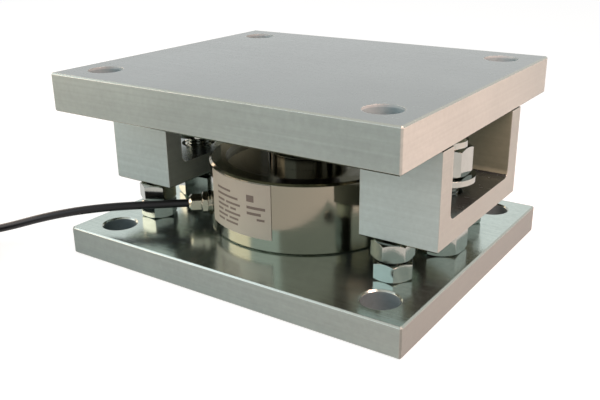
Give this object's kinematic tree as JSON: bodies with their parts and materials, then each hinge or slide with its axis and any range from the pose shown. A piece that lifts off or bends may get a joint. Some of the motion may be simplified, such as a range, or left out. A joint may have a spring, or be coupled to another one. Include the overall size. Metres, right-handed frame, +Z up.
{
  "type": "compression load cell",
  "caption": "Weigh module: a low round compression load cell between a base plate and a top plate, with welded stirrups, jack screws, anti-lift studs, a cable gland and a coiled cable.",
  "frame": {"origin": "centre of the base plate's underside", "axes": "+Z up along the load axis, X through the two stirrups, -Y the side that carries the label"},
  "size_m": [0.3066, 0.2834, 0.1015],
  "materials": {
    "plate_steel": "satin zinc plate",
    "weld_metal": "plated weld",
    "cell_steel": "polished stainless steel",
    "dark_steel": "blackened hardened steel",
    "zinc_steel": "bright zinc",
    "gland_metal": "nickel-plated",
    "seal_rubber": "matt",
    "cable_jacket": "satin black jacket",
    "label_foil": "matt printed foil",
    "gauge_foil": "polyimide foil",
    "board": "lacquered board",
    "nylon": "matt nylon",
    "wire_insulation": "satin insulation"
  },
  "bodies": {
    "root": {"base_plate": "plate_steel", "top_plate": "plate_steel", "left_stirrup": "plate_steel", "right_stirrup": "plate_steel", "stirrup_welds": "weld_metal", "cell_body": "cell_steel", "cell_cover": "cell_steel", "cell_screws": "zinc_steel", "cell_label": "label_foil", "strain_gauges": "gauge_foil", "terminal_board": "board", "load_button": "dark_steel", "thrust_piece": "dark_steel", "gland_body": "gland_metal", "gland_cap": "gland_metal", "gland_seal": "seal_rubber", "cable_entry": "cable_jacket", "jack_studs": "zinc_steel", "jack_lock_nuts": "zinc_steel", "jack_nuts": "zinc_steel", "lift_studs": "zinc_steel", "lift_base_nuts": "zinc_steel", "lift_washers": "zinc_steel", "lift_nuts": "zinc_steel", "lift_inserts": "nylon", "cable": "cable_jacket", "cable_coil": "cable_jacket", "coil_ties": "nylon", "cable_tail": "cable_jacket", "lead_wires": "wire_insulation"}
  },
  "joints": []
}
